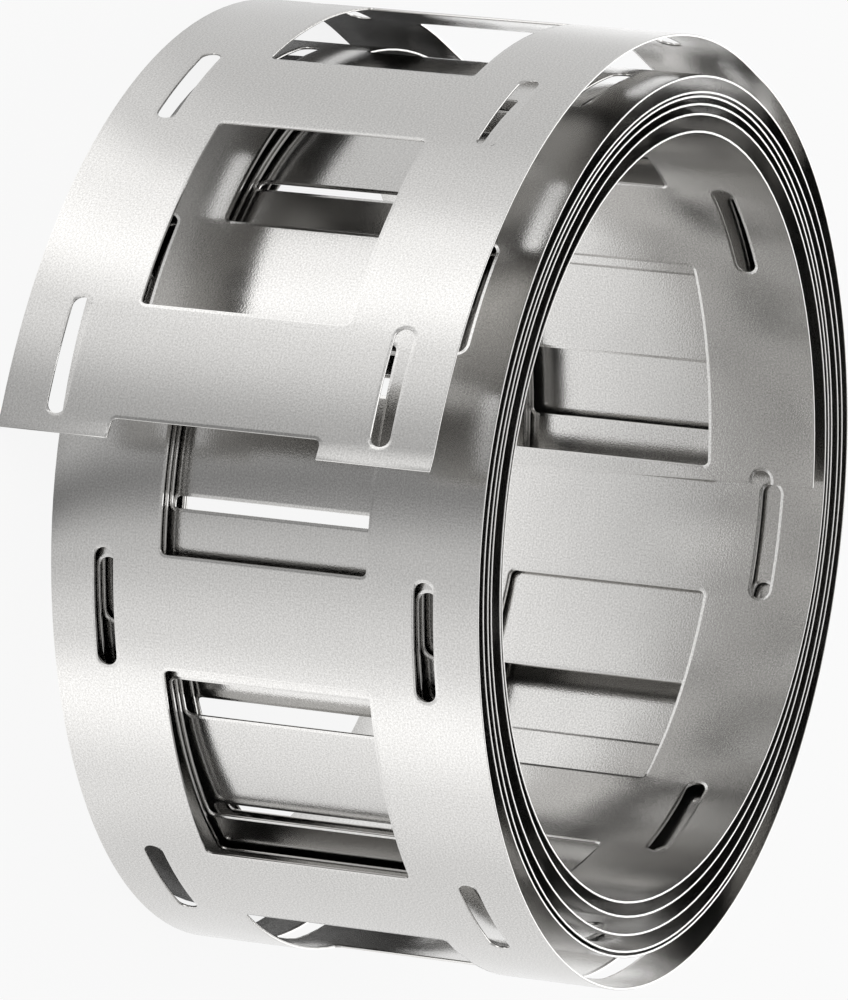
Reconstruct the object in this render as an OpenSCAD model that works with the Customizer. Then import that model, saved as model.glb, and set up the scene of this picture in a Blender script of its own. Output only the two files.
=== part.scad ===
// Ladder-pattern nickel strip for joining battery cells, wound loosely into a coil.
// The strip is one piece of sheet: two side rails joined by cross bars, with a window
// between each two bars and a slot in each rail beside every bar.
// The coil stands on one end, its axis along Z, with the tail in front at the left.

/* [Strip] */
// Width of the strip over both rails
strip_w = 27; // [24:0.5:32]
// Thickness of the sheet
strip_t = 0.15; // [0.1:0.01:0.25]
// Distance from one cross bar to the next, the spacing of the cells
pitch = 20.2; // [18:0.1:24]
// Length of a cross bar along the strip
bar_len = 6.9; // [5:0.1:9]
// Width of each side rail
rail_w = 7; // [5.5:0.5:9]
// Corner radius of the windows
window_r = 0.35; // [0.2:0.05:2]

/* [Slots] */
// Length of a slot along the strip
slot_len = 7; // [4:0.5:10]
// Width of a slot, which has round ends
slot_w = 1.2; // [0.6:0.1:2]
// Distance between the two slots of a bar, across the strip
slot_gap = 20.2; // [18:0.2:22]

/* [Ends] */
// Length of the two rail stubs past the last bar, at the tail
tail_stub = 1.2; // [0.2:0.1:6]
// How far the cut at the inner end runs out of square
end_slant = 0.7; // [0.1:0.1:3]

/* [Coil] */
// Turns from the inner end to the tail's end
turns = 6.478; // [4:0.001:7.5]
// Angle of the inner end, from the back towards the left
start_angle = -8.5; // [-20:0.5:20]
// Radius of the first turn at the back, left, front and right
core_r = [21.37, 22.81, 23.18, 22.44]; // [20:0.01:30]
// Smallest air gap between two turns
min_gap = 0.1; // [0.1:0.01:0.4]
// Angle over which the tail springs away from the coil
tail_sweep = 100; // [40:1:160]
// Height that the tail's end springs away from the coil
tail_lift = 6.1; // [0:0.1:12]

/* [Hidden] */

// Air left under each further turn beyond the smallest gap, at the back, left, front and right
turn_air = [
    [1.47, 0.77, 0.00, 0.61],
    [0.22, 0.33, 0.91, 0.82],
    [0.22, 0.20, 0.20, 0.76],
    [0.73, 0.00, 0.35, 0.03],
    [0.37, 0.68, 0.39, 1.68],
    [0.61, 1.13, 1.23, 0.50]
];
// Angle of the first station, at the back, and the angle from one station to the next
station_angle = -5;
station_step = 90;
// Power of the tail's rise: 1 is a straight ramp, 2 a parabola
tail_power = 1.13;

window_w = strip_w - 2 * rail_w;
window_len = pitch - bar_len;
end_angle = start_angle + 360 * turns;

// Flat facets of the wound sheet in half a pitch, and of a punch in a quarter-round corner
half_facets = 4;
corner_facets = 3;
// Angle step with which the winding is measured, and the angle it runs on past both ends
measure_step = 2;
overrun = 60;
// Half height of the punches, over the bend of the one bar's piece of sheet that they cut
punch_half = 2;
// Length by which a punch reaches past what it cuts
lap = 0.4;

// Radius at a station: the first turn's, plus a sheet and an air gap for each turn below
function turn_rise(turn, side) = strip_t + min_gap + turn_air[min(turn, len(turn_air)) - 1][side];
function sum(list) = list * [for (v = list) 1];
function station_r(i) =
    let (side = (i + 4) % 4, below = floor(i / 4))
    core_r[side] + (below < 1 ? 0 : sum([for (turn = [1:1:below]) turn_rise(turn, side)]));

// Radius at any angle: a smooth half wave from station to station, plus the tail's spring
function tail_rise(a) =
    tail_lift * pow(max(0, a - end_angle + tail_sweep) / tail_sweep, tail_power);
function radius(a) =
    let (q = (a - station_angle) / station_step, i = floor(q))
    station_r(i) + (station_r(i + 1) - station_r(i)) * (1 - cos(180 * (q - i))) / 2 + tail_rise(a);
function spiral(a) = radius(a) * [cos(a), sin(a)];

// Run along the strip for each angle of the winding, and the way back
angle_run = [
    for (
        a = start_angle - overrun, run = 0;
        a <= end_angle + overrun;
        run = run + norm(spiral(a + measure_step) - spiral(a)), a = a + measure_step
    ) [a, run]
];
run_angle = [for (p = angle_run) [p[1], p[0]]];
inner_end = lookup(start_angle, angle_run);
tail_end = lookup(end_angle, angle_run);

// Runs of the bars' middles are counted inwards from the tail's last bar, bar 0
last_bar = tail_end - tail_stub - bar_len / 2;
inner_bar = ceil((last_bar + pitch / 2 - inner_end) / pitch) - 1;
function bar_run(k) = last_bar - k * pitch;

// Middle of the sheet at any run, its outward normal, and a point beside its middle
function at(run) = spiral(lookup(run, run_angle));
function normal(run) =
    let (d = at(run + lap) - at(run - lap))
    [d[1], -d[0]] / norm(d);
function beside(run, off) = at(run) + off * normal(run);

// Outline of one bar's piece of sheet, wound in flat facets to the middles of the windows beside it
function rung_outline(k) =
    let (
        from = max(inner_end, last_bar - (k + 0.5) * pitch),
        to = min(tail_end, last_bar - (k - 0.5) * pitch),
        facets = max(1, round((to - from) / pitch * 2 * half_facets)),
        runs = [for (i = [0:facets]) i < facets ? from + (to - from) * i / facets : to]
    )
    concat(
        [for (run = runs) beside(run, strip_t / 2)],
        [for (i = [facets:-1:0]) beside(runs[i], -strip_t / 2)]
    );
outlines = [for (k = [0:inner_bar]) rung_outline(k)];

// Middle of the coil from side to side and from front to back
coil_x = [for (outline = outlines, p = outline) -p[1]];
coil_y = [for (outline = outlines, p = outline) p[0]];
middle_x = (min(coil_x) + max(coil_x)) / 2;
middle_y = (min(coil_y) + max(coil_y)) / 2;

// End of a cut-out in the flat sheet, at a reach from its origin, with both corners rounded
function round_end(reach, w, r) =
    let (flat = w / 2 - r, turn = 90 / corner_facets)
    concat(
        [for (i = [0:corner_facets]) [reach - r + r * sin(i * turn), flat + r * cos(i * turn)]],
        [
            for (i = [flat > 0 ? 0 : 1:corner_facets])
                [reach - r + r * cos(i * turn), -flat - r * sin(i * turn)]
        ]
    );
function turned(outline) = [for (p = outline) -p];

// Straight punch through the sheet at one run, from an outline in the flat sheet
module punch(run, across, outline) {
    p = at(run);
    n = normal(run);
    translate([p[0], p[1], across])
        rotate([90, 0, atan2(n[1], n[0]) + 90])
            linear_extrude(2 * punch_half, center = true)
                polygon(outline);
}

// The halves of the windows on both sides of a bar, each punched at its end beside the bar
module half_windows(k) {
    back = window_r - window_len / 2 - lap;
    corner = bar_len / 2 + window_r;
    outline = concat(
        round_end(window_r, window_w, window_r),
        [[back, -window_w / 2], [back, window_w / 2]]
    );
    punch(bar_run(k) + corner, 0, turned(outline));
    punch(bar_run(k) - corner, 0, outline);
}

// The two slots beside a bar
module slots(k) {
    half = round_end(slot_len / 2, slot_w, slot_w / 2);
    for (across = [-slot_gap / 2, slot_gap / 2])
        punch(bar_run(k), across, concat(half, turned(half)));
}

// Slanting cut across the inner end
module inner_cut() {
    half = strip_w / 2 + lap;
    punch(inner_end, 0, [[-lap, -half], [0, -half], [end_slant, half], [-lap, half]]);
}

// One bar of the ladder with its share of the rails
module rung(k) {
    difference() {
        translate([0, 0, -strip_w / 2])
            linear_extrude(strip_w)
                polygon(outlines[k]);
        half_windows(k);
        slots(k);
        if (k == inner_bar) inner_cut();
    }
}

module nickel_strip() {
    color([0.76, 0.75, 0.73])
        translate([-middle_x, -middle_y, strip_w / 2])
            rotate([0, 0, 90])
                for (k = [0:inner_bar]) rung(k);
}

nickel_strip();
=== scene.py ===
"""Dresses the nickel strip coil: punches the flat ladder strip, winds it on the coil's spiral
and gives it the satin finish of rolled nickel sheet."""
import math

import bpy
from mathutils import Matrix, Vector


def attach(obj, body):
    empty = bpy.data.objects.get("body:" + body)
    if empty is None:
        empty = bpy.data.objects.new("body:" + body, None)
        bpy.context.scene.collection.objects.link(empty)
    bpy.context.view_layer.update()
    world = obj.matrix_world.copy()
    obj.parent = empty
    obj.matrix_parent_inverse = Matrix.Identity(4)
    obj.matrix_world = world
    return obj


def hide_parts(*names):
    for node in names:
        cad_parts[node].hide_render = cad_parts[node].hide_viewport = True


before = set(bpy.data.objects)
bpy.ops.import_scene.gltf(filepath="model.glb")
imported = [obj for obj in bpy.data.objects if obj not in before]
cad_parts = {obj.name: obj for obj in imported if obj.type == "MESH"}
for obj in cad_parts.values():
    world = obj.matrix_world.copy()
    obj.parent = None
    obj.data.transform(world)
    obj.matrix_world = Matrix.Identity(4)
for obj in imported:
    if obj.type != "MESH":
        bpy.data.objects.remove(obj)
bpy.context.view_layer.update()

# Sizes of the flat strip, in millimetres
STRIP_W = 27.0
STRIP_T = 0.15
PITCH = 20.2
BAR_LEN = 6.9
RAIL_W = 7.0
WINDOW_R = 0.35
SLOT_LEN = 7.0
SLOT_W = 1.2
SLOT_GAP = 20.2
TAIL_STUB = 1.2
END_SLANT = 0.7
END_LAP = 0.4
WINDOW_LEN = PITCH - BAR_LEN
WINDOW_W = STRIP_W - 2 * RAIL_W
MM = 0.001

# Winding of the coil: turns, radii at the back, left, front and right, and air under each turn
TURNS = 6.478
START_ANGLE = -8.5
CORE_R = (21.37, 22.81, 23.18, 22.44)
MIN_GAP = 0.1
TURN_AIR = (
    (1.47, 0.77, 0.00, 0.61),
    (0.22, 0.33, 0.91, 0.82),
    (0.22, 0.20, 0.20, 0.76),
    (0.73, 0.00, 0.35, 0.03),
    (0.37, 0.68, 0.39, 1.68),
    (0.61, 1.13, 1.23, 0.50),
)
STATION_ANGLE = -5
STATION_STEP = 90
TAIL_SWEEP = 100
TAIL_LIFT = 6.1
TAIL_POWER = 1.13
END_ANGLE = START_ANGLE + 360 * TURNS
# Slight flare that the shears left on the tail's last millimetre
FLARE_SWEEP = 2.2
FLARE_LIFT = 0.2
# Middle of the coil, from the axis of the winding
COIL_MIDDLE = (0.698536, 2.98146, STRIP_W / 2)
# Angle step of the spine, and the angle it runs on past both ends of the strip
SPINE_STEP = 0.5
OVERRUN = 20

# Detail of the modelled sheet: bends along it, segments of its round corners, rounded cut edges
BAR_BENDS = 6
WINDOW_BENDS = 10
STUB_BENDS = 4
CORNER_SEGMENTS = 4
SLOT_END_SEGMENTS = 5
EDGE_ROUND = 0.045
EDGE_SEGMENTS = 2
EDGE_ANGLE = math.radians(60)
SMOOTH_ANGLE = math.radians(40)
# Punches are this deep, and a slot's round end keeps this much of its straight edge
PUNCH_DEPTH = 8 * STRIP_T
SLOT_END_FLAT = 0.002
# Points this close are one, in a cut and where two rungs join
CUT_SNAP = 1e-4
RUNG_JOIN = 0.002
# A face belongs to a sheared edge where less than this of its normal points out of the sheet
BROAD_FACE = 0.97


def station_radius(i):
    """Radius of the winding at a station: the first turn's, plus a sheet and air for each turn."""
    side, below = i % 4, i // 4
    rise = sum(STRIP_T + MIN_GAP + TURN_AIR[min(turn, len(TURN_AIR)) - 1][side]
               for turn in range(1, below + 1))
    return CORE_R[side] + rise


def winding_radius(angle):
    """Half waves from station to station, plus the spring of the tail."""
    q = (angle - STATION_ANGLE) / STATION_STEP
    i = math.floor(q)
    a, b = station_radius(i), station_radius(i + 1)
    sprung = max(0.0, angle - END_ANGLE + TAIL_SWEEP) / TAIL_SWEEP
    flared = max(0.0, angle - END_ANGLE + FLARE_SWEEP) / FLARE_SWEEP
    lift = TAIL_LIFT * sprung ** TAIL_POWER + FLARE_LIFT * flared ** 2
    return a + (b - a) * (1 - math.cos(math.pi * (q - i))) / 2 + lift


def winding_point(angle):
    """Middle of the sheet, seen from above, before the coil is centred."""
    r, a = winding_radius(angle), math.radians(angle)
    return Vector((-r * math.sin(a), r * math.cos(a)))


def winding_runs():
    """Angles of the spine, its points, and the run along the strip up to each of them."""
    count = round((END_ANGLE + OVERRUN - START_ANGLE + OVERRUN) / SPINE_STEP)
    angles = [START_ANGLE - OVERRUN + SPINE_STEP * i for i in range(count + 1)]
    points = [winding_point(a) for a in angles]
    runs = [0.0]
    for p, q in zip(points, points[1:]):
        runs.append(runs[-1] + (q - p).length)
    return angles, points, runs


def run_at(angle, angles, runs):
    """Run along the strip at any angle of the winding."""
    q = (angle - angles[0]) / SPINE_STEP
    i = min(int(q), len(runs) - 2)
    return runs[i] + (runs[i + 1] - runs[i]) * (q - i)


ANGLES, SPINE, RUNS = winding_runs()
INNER_END = run_at(START_ANGLE, ANGLES, RUNS)
TAIL_END = run_at(END_ANGLE, ANGLES, RUNS)
LAST_BAR = TAIL_END - TAIL_STUB - BAR_LEN / 2
BARS = math.ceil((LAST_BAR + PITCH / 2 - INNER_END) / PITCH)
FIRST_BAR = LAST_BAR - (BARS - 1) * PITCH


def pick_only(obj):
    """Deselects all and makes one object the active, selected one."""
    bpy.ops.object.select_all(action="DESELECT")
    obj.select_set(True)
    bpy.context.view_layer.objects.active = obj


def select_faces(obj, test):
    """In edit mode, selects the faces that pass a test and nothing else."""
    bpy.ops.mesh.select_mode(type="FACE")
    bpy.ops.mesh.select_all(action="DESELECT")
    bpy.ops.object.mode_set(mode="OBJECT")
    for face in obj.data.polygons:
        face.select = test(face)
    bpy.ops.object.mode_set(mode="EDIT")


def cut_along(place, direction, **trim):
    """In edit mode, cuts the whole mesh along a plane."""
    bpy.ops.mesh.select_all(action="SELECT")
    bpy.ops.mesh.bisect(plane_co=place, plane_no=direction, threshold=CUT_SNAP, **trim)


def add_block(size, place, name):
    """A cube primitive at its size and place."""
    bpy.ops.object.select_all(action="DESELECT")
    bpy.ops.mesh.primitive_cube_add(size=1, location=place)
    block = bpy.context.object
    block.name = name
    block.scale = size
    bpy.ops.object.transform_apply(location=True, rotation=False, scale=True)
    return block


def punch_out(sheet, length, width, corner, segments, along, across):
    """Cuts a hole with rounded corners through the flat sheet."""
    punch = add_block((length, PUNCH_DEPTH, width), (along, 0, across), "punch")
    bpy.ops.object.mode_set(mode="EDIT")
    bpy.ops.mesh.select_mode(type="EDGE")
    bpy.ops.mesh.select_all(action="DESELECT")
    bpy.ops.object.mode_set(mode="OBJECT")
    corners = punch.data.vertices
    for edge in punch.data.edges:
        a, b = (corners[v].co for v in edge.vertices)
        edge.select = abs(a.y - b.y) > STRIP_T
    bpy.ops.object.mode_set(mode="EDIT")
    bpy.ops.mesh.bevel(offset=corner, segments=segments, affect="EDGES")
    bpy.ops.object.mode_set(mode="OBJECT")
    pick_only(sheet)
    cut = sheet.modifiers.new("punched", "BOOLEAN")
    cut.operation = "DIFFERENCE"
    cut.solver = "EXACT"
    cut.object = punch
    bpy.ops.object.modifier_apply(modifier=cut.name)
    bpy.data.objects.remove(punch)


def flat_rung():
    """One bar of the flat ladder with its share of the rails, its half windows and its slots."""
    middle = STRIP_W / 2
    rung = add_block((PITCH, STRIP_T, STRIP_W), (0, 0, middle), "nickel_strip_sheet")
    for along in (-PITCH / 2, PITCH / 2):
        punch_out(rung, WINDOW_LEN, WINDOW_W, WINDOW_R, CORNER_SEGMENTS, along, middle)
    for across in (middle - SLOT_GAP / 2, middle + SLOT_GAP / 2):
        punch_out(rung, SLOT_LEN, SLOT_W, SLOT_W / 2 - SLOT_END_FLAT, SLOT_END_SEGMENTS, 0, across)
    pick_only(rung)
    bpy.ops.object.mode_set(mode="EDIT")
    on_bar = [BAR_LEN * (i / BAR_BENDS - 0.5) for i in range(BAR_BENDS + 1)]
    beside = [BAR_LEN / 2 + WINDOW_LEN * i / WINDOW_BENDS for i in range(1, WINDOW_BENDS // 2)]
    for x in on_bar + beside + [-x for x in beside]:
        cut_along((x, 0, 0), (1, 0, 0))
    window_sides = (WINDOW_W / 2, WINDOW_W / 2 - WINDOW_R)
    slot_sides = ((SLOT_GAP - SLOT_W) / 2, (SLOT_GAP + SLOT_W) / 2)
    for z in [middle + way * side for side in window_sides + slot_sides for way in (-1, 1)]:
        cut_along((0, 0, z), (0, 0, 1))
    outer = PITCH / 2 - 0.01
    select_faces(rung, lambda face: abs(face.normal.x) > 0.9 and abs(face.center.x) > outer)
    bpy.ops.mesh.delete(type="FACE")
    bpy.ops.object.mode_set(mode="OBJECT")
    return rung


def flat_strip():
    """The whole flat strip: the rungs in a row, trimmed at the tail and on the slant inside."""
    strip = flat_rung()
    row = strip.modifiers.new("row", "ARRAY")
    row.count = BARS
    row.use_relative_offset = False
    row.use_constant_offset = True
    row.constant_offset_displace = (PITCH, 0, 0)
    row.use_merge_vertices = True
    row.merge_threshold = RUNG_JOIN
    bpy.ops.object.modifier_apply(modifier=row.name)
    strip.location = (FIRST_BAR, 0, 0)
    bpy.ops.object.transform_apply(location=True, rotation=False, scale=False)
    bpy.ops.object.mode_set(mode="EDIT")
    bpy.ops.mesh.select_mode(type="FACE")
    cut_along((TAIL_END, 0, 0), (1, 0, 0), use_fill=True, clear_outer=True)
    for i in range(1, STUB_BENDS):
        cut_along((TAIL_END - i * TAIL_STUB / STUB_BENDS, 0, 0), (1, 0, 0))
    slant = Vector((STRIP_W + 2 * END_LAP, 0, -END_SLANT)).normalized()
    cut_along((INNER_END, 0, -END_LAP), slant, use_fill=True, clear_inner=True)
    bpy.ops.object.mode_set(mode="OBJECT")
    rounded = strip.modifiers.new("sheared_edges", "BEVEL")
    rounded.width = EDGE_ROUND
    rounded.segments = EDGE_SEGMENTS
    rounded.limit_method = "ANGLE"
    rounded.angle_limit = EDGE_ANGLE
    rounded.use_clamp_overlap = False
    bpy.ops.object.modifier_apply(modifier=rounded.name)
    return strip


def lay_out_grain(strip):
    """A UV map of the flat sheet, along and across the strip in metres, for its rolled grain, and
    a mark on the faces of its sheared edges."""
    layer = strip.data.uv_layers.new(name="flat_sheet")
    sheared = strip.data.attributes.new("sheared", "FLOAT", "FACE")
    for face in strip.data.polygons:
        cut = abs(face.normal.y) < BROAD_FACE
        sheared.data[face.index].value = 1.0 if cut else 0.0
        for i in face.loop_indices:
            x, y, z = strip.data.vertices[strip.data.loops[i].vertex_index].co
            layer.data[i].uv = (x * MM, (z + y if cut else z) * MM)


def wind(strip):
    """Bends the flat strip round the spiral and brings it to its place and to metres."""
    bpy.ops.object.select_all(action="DESELECT")
    bpy.ops.curve.primitive_nurbs_path_add()
    spine = bpy.context.object
    spine.data.splines.clear()
    line = spine.data.splines.new("POLY")
    line.points.add(len(SPINE) - 1)
    for knot, point in zip(line.points, SPINE):
        knot.co = (point.x, point.y, 0, 1)
    spine.data.twist_mode = "Z_UP"
    pick_only(strip)
    bend = strip.modifiers.new("wound", "CURVE")
    bend.object = spine
    bend.deform_axis = "POS_X"
    bpy.ops.object.modifier_apply(modifier=bend.name)
    bpy.data.objects.remove(spine)
    strip.location = (COIL_MIDDLE[0] * MM, COIL_MIDDLE[1] * MM, 0)
    strip.scale = (MM, MM, MM)
    bpy.ops.object.transform_apply(location=True, rotation=False, scale=True)
    bpy.ops.object.shade_smooth_by_angle(angle=SMOOTH_ANGLE)
    even = strip.modifiers.new("even_shading", "WEIGHTED_NORMAL")
    even.mode = "FACE_AREA"
    even.weight = 100
    even.keep_sharp = True
    bpy.ops.object.modifier_apply(modifier=even.name)


def add_node(tree, kind, **settings):
    """A shader node with its settings."""
    node = tree.nodes.new("ShaderNode" + kind)
    for name, value in settings.items():
        setattr(node, name, value)
    return node


def calc(tree, operation, *values):
    """A Math node on sockets or plain numbers, and its result."""
    node = add_node(tree, "Math", operation=operation)
    for value, socket in zip(values, node.inputs):
        if isinstance(value, (int, float)):
            socket.default_value = value
        else:
            tree.links.new(value, socket)
    return node.outputs["Value"]


def remap(tree, value, span, result=(0, 1), **settings):
    """A value moved from one span to another, and held at its ends."""
    node = add_node(tree, "MapRange", **settings)
    node.inputs["From Min"].default_value, node.inputs["From Max"].default_value = span
    node.inputs["To Min"].default_value, node.inputs["To Max"].default_value = result
    tree.links.new(value, node.inputs["Value"])
    return node.outputs["Result"]


def blend(tree, share, first, second, **settings):
    """A mix of two colours, by a socket or a plain number. A colour is a socket or four numbers."""
    node = add_node(tree, "Mix", data_type="RGBA", **settings)
    for name, value in (("Factor", share), ("A", first), ("B", second)):
        if isinstance(value, (int, float, tuple)):
            node.inputs[name].default_value = value
        else:
            tree.links.new(value, node.inputs[name])
    return node.outputs["Result"]


def mix_shaders(tree, share, first, second):
    """A mix of two shaders by a share."""
    node = add_node(tree, "MixShader")
    for value, socket in zip((share, first, second), node.inputs):
        tree.links.new(value, socket)
    return node.outputs["Shader"]


def noise(tree, place, scale, detail):
    """Noise over a place on the sheet."""
    node = add_node(tree, "TexNoise")
    node.inputs["Scale"].default_value = scale
    node.inputs["Detail"].default_value = detail
    tree.links.new(place, node.inputs["Vector"])
    return node.outputs["Fac"]


def relief(tree, height, distance, strength, below=None):
    """A bump in metres, over another bump where there is one."""
    node = add_node(tree, "Bump")
    node.inputs["Strength"].default_value = strength
    node.inputs["Distance"].default_value = distance
    tree.links.new(height, node.inputs["Height"])
    if below is not None:
        tree.links.new(below, node.inputs["Normal"])
    return node.outputs["Normal"]


def beyond_hole(tree, along, across, length, width, corner):
    """Distance from a hole with rounded corners, from the distances to its middle."""
    past_end = calc(tree, "MAXIMUM", calc(tree, "SUBTRACT", along, (length / 2 - corner) * MM), 0)
    past_side = calc(tree, "MAXIMUM", calc(tree, "SUBTRACT", across, (width / 2 - corner) * MM), 0)
    squares = calc(tree, "ADD", calc(tree, "POWER", past_end, 2), calc(tree, "POWER", past_side, 2))
    return calc(tree, "SUBTRACT", calc(tree, "SQRT", squares), corner * MM)


def beyond_cut(tree, sheet):
    """Distance from the nearest punched edge of the flat sheet."""
    place = add_node(tree, "SeparateXYZ")
    tree.links.new(sheet, place.inputs["Vector"])
    run = calc(tree, "SUBTRACT", place.outputs["X"], FIRST_BAR * MM)
    from_bar = calc(tree, "PINGPONG", run, PITCH / 2 * MM)
    from_window = calc(tree, "SUBTRACT", PITCH / 2 * MM, from_bar)
    off_middle = calc(tree, "SUBTRACT", place.outputs["Y"], STRIP_W / 2 * MM)
    from_middle = calc(tree, "ABSOLUTE", off_middle)
    off_slot = calc(tree, "SUBTRACT", from_middle, SLOT_GAP / 2 * MM)
    from_slot = calc(tree, "ABSOLUTE", off_slot)
    window = beyond_hole(tree, from_window, from_middle, WINDOW_LEN, WINDOW_W, WINDOW_R)
    slot = beyond_hole(tree, from_bar, from_slot, SLOT_LEN, SLOT_W, SLOT_W / 2)
    return calc(tree, "MINIMUM", window, slot)


# Rims that the punch drew down, in millimetres
RIM_W = 0.22
RIM_DROP = 0.035
# Grain of the sheet: scale of each noise per metre, and height of its relief in metres
PEEL_SCALE = 9000
PEEL_HEIGHT = 0.0000045
CLOUD_SCALE = 320
CLOUD_HEIGHT = 0.00003
CLOUD_STRENGTH = 0.25
STREAK_SCALE = (120, 5200, 1)
STREAK_SHARE = 0.08
# The part of a noise's values that is used, and the tones and roughness it runs through
NOISE_SPAN = (0.3, 0.7)
DARK_GRAIN = (0.527, 0.520, 0.508, 1)
PALE_GRAIN = (0.720, 0.712, 0.698, 1)
ROUGHNESS = (0.14, 0.19)
SHEARED_TONE = (0.70, 0.69, 0.675, 1)


def satin_nickel():
    """Rolled nickel sheet: a fine speckled grain, rims drawn down by the punch, plain cut edges."""
    material = bpy.data.materials.new("satin_nickel")
    material.use_nodes = True
    tree = material.node_tree
    link = tree.links.new
    shader = tree.nodes["Principled BSDF"]
    shader.inputs["Metallic"].default_value = 1

    sheet = add_node(tree, "UVMap", uv_map="flat_sheet").outputs["UV"]
    peel = noise(tree, sheet, PEEL_SCALE, 1)
    cloud = noise(tree, sheet, CLOUD_SCALE, 2)
    drawn_out = add_node(tree, "Mapping")
    drawn_out.inputs["Scale"].default_value = STREAK_SCALE
    link(sheet, drawn_out.inputs["Vector"])
    streak = noise(tree, drawn_out.outputs["Vector"], 1, 2)

    rim = remap(tree, beyond_cut(tree, sheet), (0, RIM_W * MM), interpolation_type="SMOOTHSTEP")
    rims = relief(tree, rim, RIM_DROP * MM, 1)
    fine = relief(tree, peel, PEEL_HEIGHT, 1, rims)
    broad = relief(tree, cloud, CLOUD_HEIGHT, CLOUD_STRENGTH, fine)
    link(broad, shader.inputs["Normal"])

    tone = add_node(tree, "ValToRGB")
    ends = zip(tone.color_ramp.elements, NOISE_SPAN, (DARK_GRAIN, PALE_GRAIN))
    for stop, position, colour in ends:
        stop.position = position
        stop.color = colour
    speckle = calc(tree, "MULTIPLY", peel, 1 - STREAK_SHARE)
    grain = calc(tree, "MULTIPLY_ADD", streak, STREAK_SHARE, speckle)
    link(grain, tone.inputs["Fac"])
    sheared = add_node(tree, "Attribute", attribute_name="sheared")
    colour = blend(tree, sheared.outputs["Fac"], tone.outputs["Color"], SHEARED_TONE)
    link(colour, shader.inputs["Base Color"])
    link(remap(tree, cloud, NOISE_SPAN, ROUGHNESS), shader.inputs["Roughness"])
    return material


strip = flat_strip()
lay_out_grain(strip)
wind(strip)
strip.data.materials.clear()
strip.data.materials.append(satin_nickel())
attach(strip, "root")
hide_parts("nickel_strip")

# Camera of the photograph, in the coil's own frame: along the axis, to the back, to the tail's
# side. Its focal length is in pixels of the picture's height.
CAMERA_F = 9100.956
CAMERA_TURN = math.radians(25.5939)
CAMERA_RISE = math.radians(13.0462)
CAMERA_SHIFT = (2.2313, -0.1150, 537.6645)
PICTURE_H = 1000
SENSOR = 36


def place_camera():
    """The photograph's view. The coil stands on its far end, so the camera lies on its side."""
    ca, sa = math.cos(CAMERA_TURN), math.sin(CAMERA_TURN)
    ce, se = math.cos(CAMERA_RISE), math.sin(CAMERA_RISE)
    stand = Matrix(((0, 0, -1), (0, 1, 0), (1, 0, 0)))
    right = stand @ Vector((ca, sa, 0))
    up = stand @ Vector((-sa * se, ca * se, ce))
    ahead = stand @ Vector((-sa * ce, ca * ce, -se))
    tx, ty, tz = CAMERA_SHIFT
    eye = (Vector(COIL_MIDDLE) - tx * right + ty * up - tz * ahead) * MM
    bpy.ops.object.camera_add()
    camera = bpy.context.object
    turn = Matrix((right, up, -ahead)).transposed().to_4x4()
    camera.matrix_world = Matrix.Translation(eye) @ turn
    camera.data.sensor_fit = "AUTO"
    camera.data.sensor_width = SENSOR
    camera.data.lens = CAMERA_F * SENSOR / PICTURE_H
    camera.data.clip_start = 0.01
    camera.data.clip_end = 10
    bpy.context.scene.camera = camera


# The white floor, in metres
FLOOR_SIZE = 4
PAPER_TONE = (0.9, 0.9, 0.9, 1)
PAPER_ROUGHNESS = 0.9
# Share of the floor's look that is plain white to the camera, which leaves a faint shadow
PLAIN_WHITE = 0.88
# Painted bands of light and shade in the floor, which the coil mirrors round it: angle about a
# point in front of the coil's middle in degrees, and brightness
GLOW_MIDDLE = (0, -0.014, 0)
FLOOR_GLOW = (
    (-180, 0.98), (-168, 1.42), (-156, 1.64), (-143, 1.11),
    (-126, 0.60), (-110, 0.31), (-90, 0.76), (-66, 1.06),
    (-47, 1.56), (-24, 1.17), (-6, 0.99), (50, 1.02),
    (104, 1.20), (130, 0.81), (164, 0.80), (180, 0.98),
)
GLOW_MOST = 1.7
# Painted light on the floor inside the bore, from its front to its back, and the soft edge of that
# painted light
BORE_REACH = 0.0205
BORE_SOFT = 0.001
BORE_GLOW = ((-0.018, 0.66), (0.014, 1.20))
# How far the coil's walls shade the floor, and the shade by how open the floor lies
SHADE_REACH = 0.012
SHADE_STOPS = ((0.10, 0.03), (0.50, 1.0))


def fill_ramp(ramp, stops):
    """Grey stops of a colour ramp, as pairs of position and brightness."""
    elements = ramp.elements
    while len(elements) > 1:
        elements.remove(elements[-1])
    for i, (position, value) in enumerate(stops):
        stop = elements[0] if i == 0 else elements.new(position)
        stop.position = position
        stop.color = (value, value, value, 1)


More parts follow.
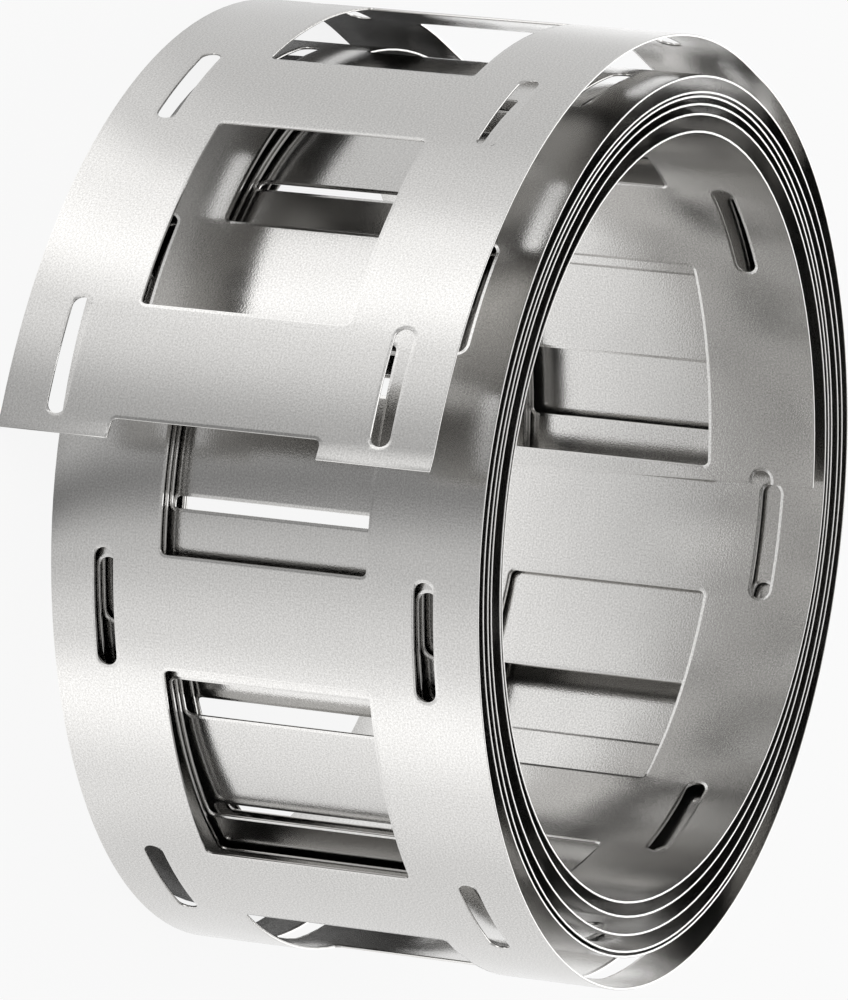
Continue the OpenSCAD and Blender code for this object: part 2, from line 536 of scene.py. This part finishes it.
def floor_painted_light(tree):
    """Painted light and shade of the floor as metal mirrors it: painted bands round the coil, and
    painted light on the floor of the bore.
    """
    link = tree.links.new
    place = add_node(tree, "TexCoord").outputs["Object"]
    from_front = add_node(tree, "VectorMath", operation="SUBTRACT")
    from_front.inputs[1].default_value = GLOW_MIDDLE
    link(place, from_front.inputs[0])
    round_coil = add_node(tree, "TexGradient", gradient_type="RADIAL")
    link(from_front.outputs["Vector"], round_coil.inputs["Vector"])
    painted_bands = add_node(tree, "ValToRGB")
    painted_bands.color_ramp.interpolation = "EASE"
    # Painted bands of light and shade round the coil, seen only in the metal
    fill_ramp(painted_bands.color_ramp, [(a / 360 + 0.5, v / GLOW_MOST) for a, v in FLOOR_GLOW])
    link(round_coil.outputs["Fac"], painted_bands.inputs["Fac"])

    from_axis = add_node(tree, "VectorMath", operation="DISTANCE")
    from_axis.inputs[1].default_value = (COIL_MIDDLE[0] * MM, COIL_MIDDLE[1] * MM, 0)
    link(place, from_axis.inputs[0])
    rim = (BORE_REACH + BORE_SOFT, BORE_REACH - BORE_SOFT)
    inside = remap(tree, from_axis.outputs["Value"], rim)
    across_bore = add_node(tree, "SeparateXYZ")
    link(place, across_bore.inputs["Vector"])
    (front, dim), (back, bright) = BORE_GLOW
    light = (dim / GLOW_MOST, bright / GLOW_MOST)
    # Painted light across the floor of the bore, dim at its front and bright at its back
    bore = remap(tree, across_bore.outputs["Y"], (front, back), light)
    return blend(tree, inside, painted_bands.outputs["Color"], bore)


def white_paper():
    """White paper: white to the camera but for a faint shadow; to metal it glows with soft painted
    bands of light and shade.
    """
    material = bpy.data.materials.new("white_paper")
    material.use_nodes = True
    tree = material.node_tree
    link = tree.links.new
    paper = tree.nodes["Principled BSDF"]
    paper.inputs["Base Color"].default_value = PAPER_TONE
    paper.inputs["Roughness"].default_value = PAPER_ROUGHNESS

    nearby = add_node(tree, "AmbientOcclusion", samples=8)
    nearby.inputs["Distance"].default_value = SHADE_REACH
    shade = add_node(tree, "ValToRGB")
    fill_ramp(shade.color_ramp, SHADE_STOPS)
    link(nearby.outputs["AO"], shade.inputs["Fac"])
    # The floor's painted light, darkened by painted shade near the coil's walls, glows only to
    # glossy and transmission rays
    shaded = blend(tree, 1, floor_painted_light(tree), shade.outputs["Color"], blend_type="MULTIPLY")
    mirrored = add_node(tree, "Emission")
    mirrored.inputs["Strength"].default_value = GLOW_MOST
    link(shaded, mirrored.inputs["Color"])
    white = add_node(tree, "Emission")

    path = add_node(tree, "LightPath").outputs
    in_metal = calc(tree, "MAXIMUM", path["Is Glossy Ray"], path["Is Transmission Ray"])
    in_view = calc(tree, "MULTIPLY", path["Is Camera Ray"], PLAIN_WHITE)
    to_metal = mix_shaders(tree, in_metal, paper.outputs["BSDF"], mirrored.outputs["Emission"])
    to_all = mix_shaders(tree, in_view, to_metal, white.outputs["Emission"])
    link(to_all, tree.nodes["Material Output"].inputs["Surface"])
    return material


def lay_floor():
    """The white floor under the coil."""
    bpy.ops.object.select_all(action="DESELECT")
    bpy.ops.mesh.primitive_plane_add(size=FLOOR_SIZE)
    floor = bpy.context.object
    floor.name = "floor"
    floor.data.materials.append(white_paper())


# Soft lights, by name, place, size and brightness, and the light of the room
SOFTBOXES = (
    ("key_light", (-0.35, -0.45, 0.65), 0.4, 1.6),
    ("back_light", (0.15, 0.60, 0.34), 0.45, 1.2),
)
ROOM_LIGHT = 0.55
WHITE = (1, 1, 1, 1)


def add_softbox(name, place, size, brightness):
    """A square soft light that faces the coil, by its brightness as seen from there."""
    bpy.ops.object.select_all(action="DESELECT")
    bpy.ops.object.light_add(type="AREA", location=place)
    lamp = bpy.context.object
    lamp.name = name
    lamp.data.shape = "SQUARE"
    lamp.data.size = size
    lamp.data.energy = brightness * math.pi * size * size
    lamp.rotation_euler = (-Vector(place)).to_track_quat("-Z", "Y").to_euler()


def light_room():
    """An even white room, white to the camera and dimmer as light."""
    world = bpy.data.worlds.new("studio")
    bpy.context.scene.world = world
    world.use_nodes = True
    tree = world.node_tree
    room = tree.nodes["Background"]
    room.inputs["Color"].default_value = WHITE
    room.inputs["Strength"].default_value = ROOM_LIGHT
    white = add_node(tree, "Background")
    white.inputs["Color"].default_value = WHITE
    in_view = add_node(tree, "LightPath").outputs["Is Camera Ray"]
    mix = mix_shaders(tree, in_view, room.outputs["Background"], white.outputs["Background"])
    tree.links.new(mix, tree.nodes["World Output"].inputs["Surface"])


place_camera()
lay_floor()
light_room()
for softbox in SOFTBOXES:
    add_softbox(*softbox)

bpy.context.scene.view_settings.view_transform = "Standard"
